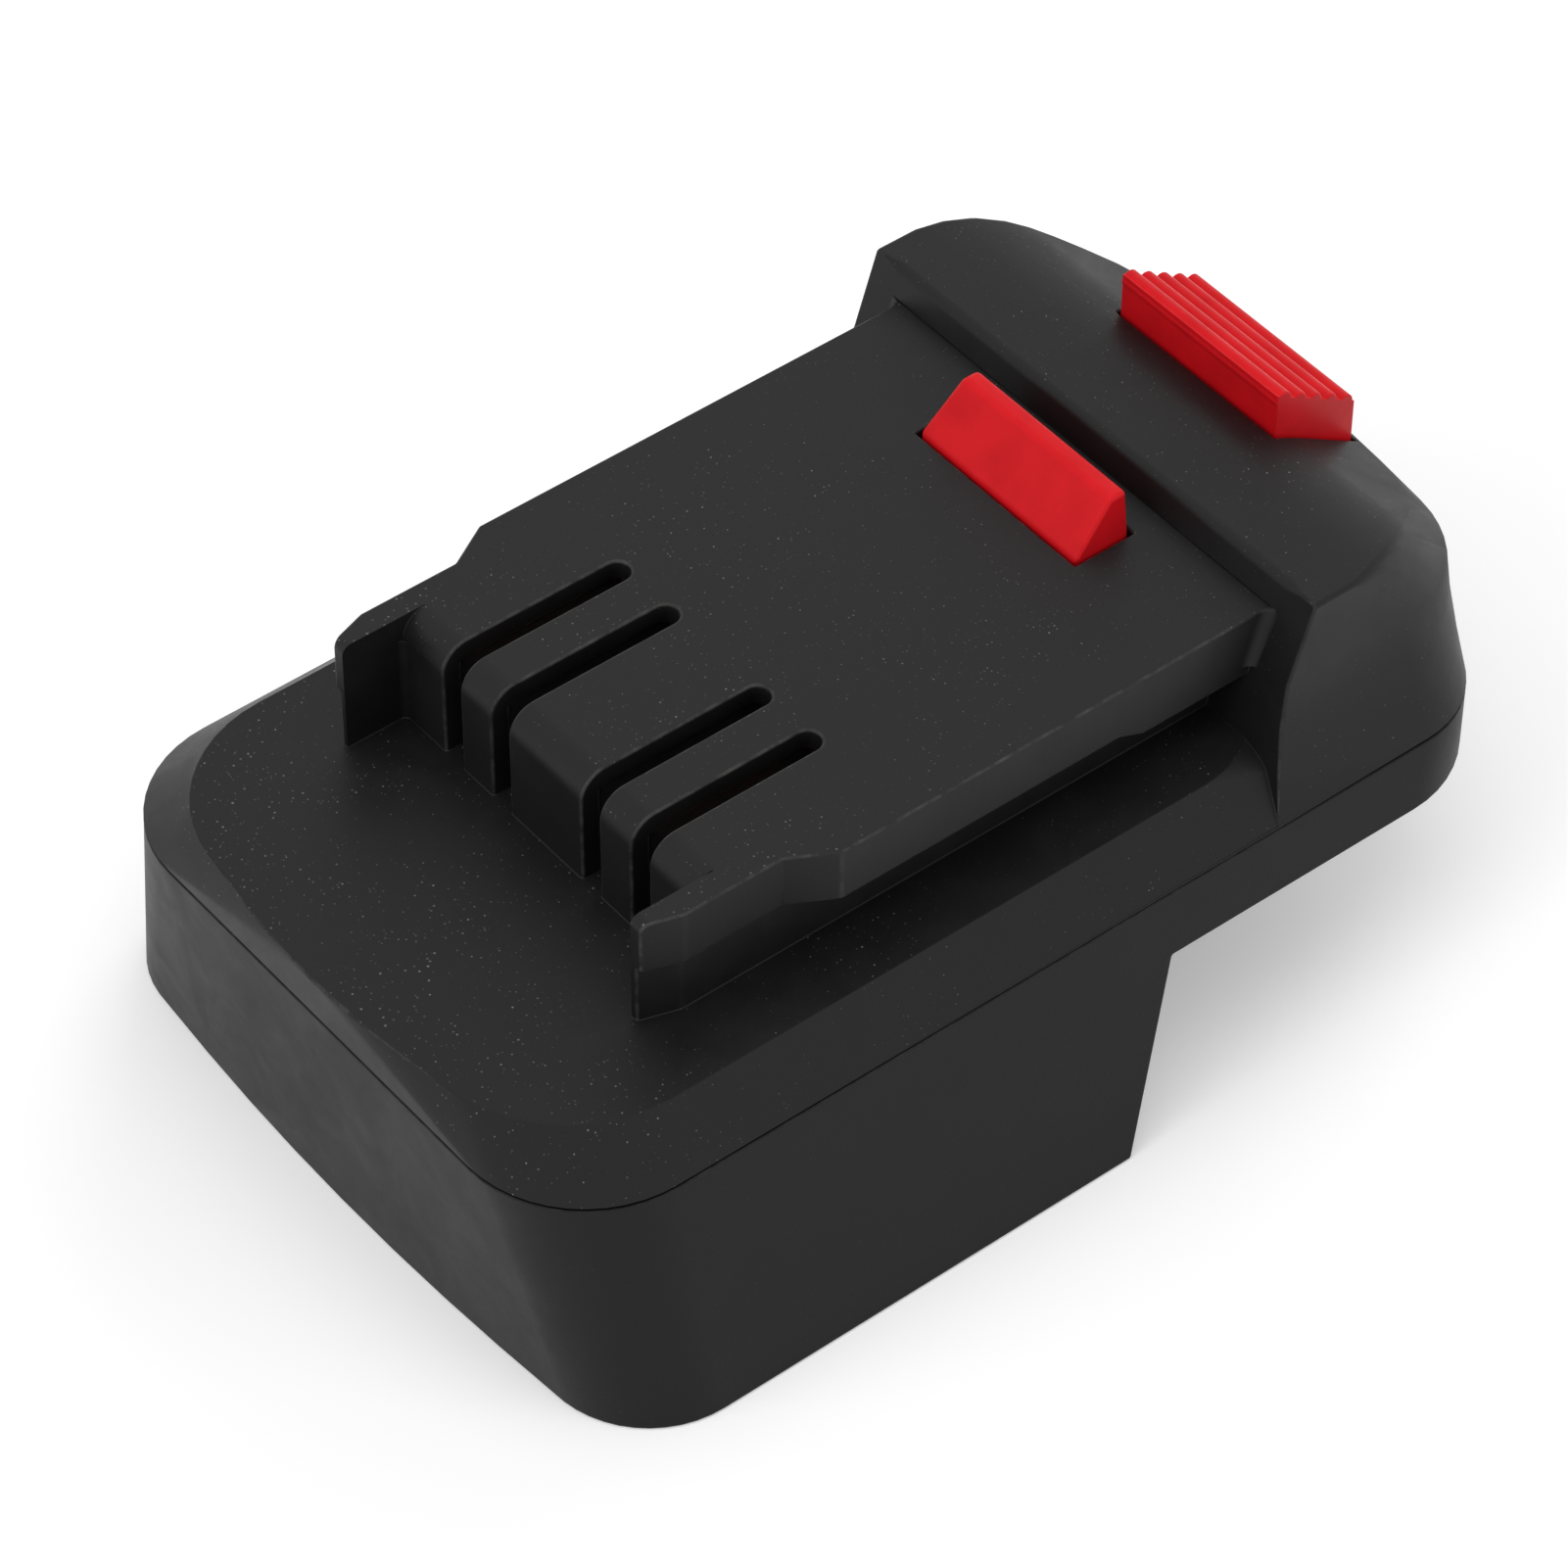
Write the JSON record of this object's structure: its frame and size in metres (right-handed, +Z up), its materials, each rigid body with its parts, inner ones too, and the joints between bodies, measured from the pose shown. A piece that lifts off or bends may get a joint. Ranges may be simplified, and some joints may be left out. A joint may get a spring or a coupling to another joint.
{
  "type": "tool battery adapter",
  "caption": "Slide-on adapter with a flared pack bay below, a rail pod with contact slots above and a sprung red release latch.",
  "frame": {"origin": "middle of the bounding box at the resting face of the skirt", "axes": "+X towards the release button, +Z up from the resting face to the rail pod"},
  "size_m": [0.121, 0.086, 0.0527],
  "materials": {
    "black_plastic": "fine moulded texture",
    "insert_plastic": "smooth moulded",
    "red_plastic": "smooth moulded, half gloss",
    "spring_steel": "drawn wire",
    "contact_copper": "bare copper alloy sheet",
    "screw_steel": "zinc plated",
    "wire_red": "smooth insulation",
    "wire_black": "smooth insulation",
    "wire_yellow": "smooth insulation",
    "wire_white": "smooth insulation"
  },
  "bodies": {
    "adapter": {"top_cover": "black_plastic", "lower_housing": "black_plastic", "contact_holder": "insert_plastic", "clip_positive": "contact_copper", "clip_negative": "contact_copper", "clip_signal_left": "contact_copper", "clip_signal_right": "contact_copper", "contact_holder_screws": "screw_steel", "terminal_block": "insert_plastic", "blade_positive": "contact_copper", "blade_negative": "contact_copper", "blade_signal_left": "contact_copper", "blade_signal_right": "contact_copper", "terminal_block_screws": "screw_steel", "wire_positive": "wire_red", "wire_negative": "wire_black", "wire_signal_left": "wire_yellow", "wire_signal_right": "wire_white", "housing_screws": "screw_steel", "latch_spring_left": "spring_steel", "latch_spring_right": "spring_steel"},
    "latch": {"release_latch": "red_plastic"}
  },
  "joints": [
    {"name": "latch_press", "type": "slide", "parent": "adapter", "child": "latch", "axis": [0, 0, -1], "range_m": [0, 0.0045], "stiffness_N_per_m": 700, "springref_m": -0.004, "deforming": ["latch_spring_left", "latch_spring_right"]}
  ]
}
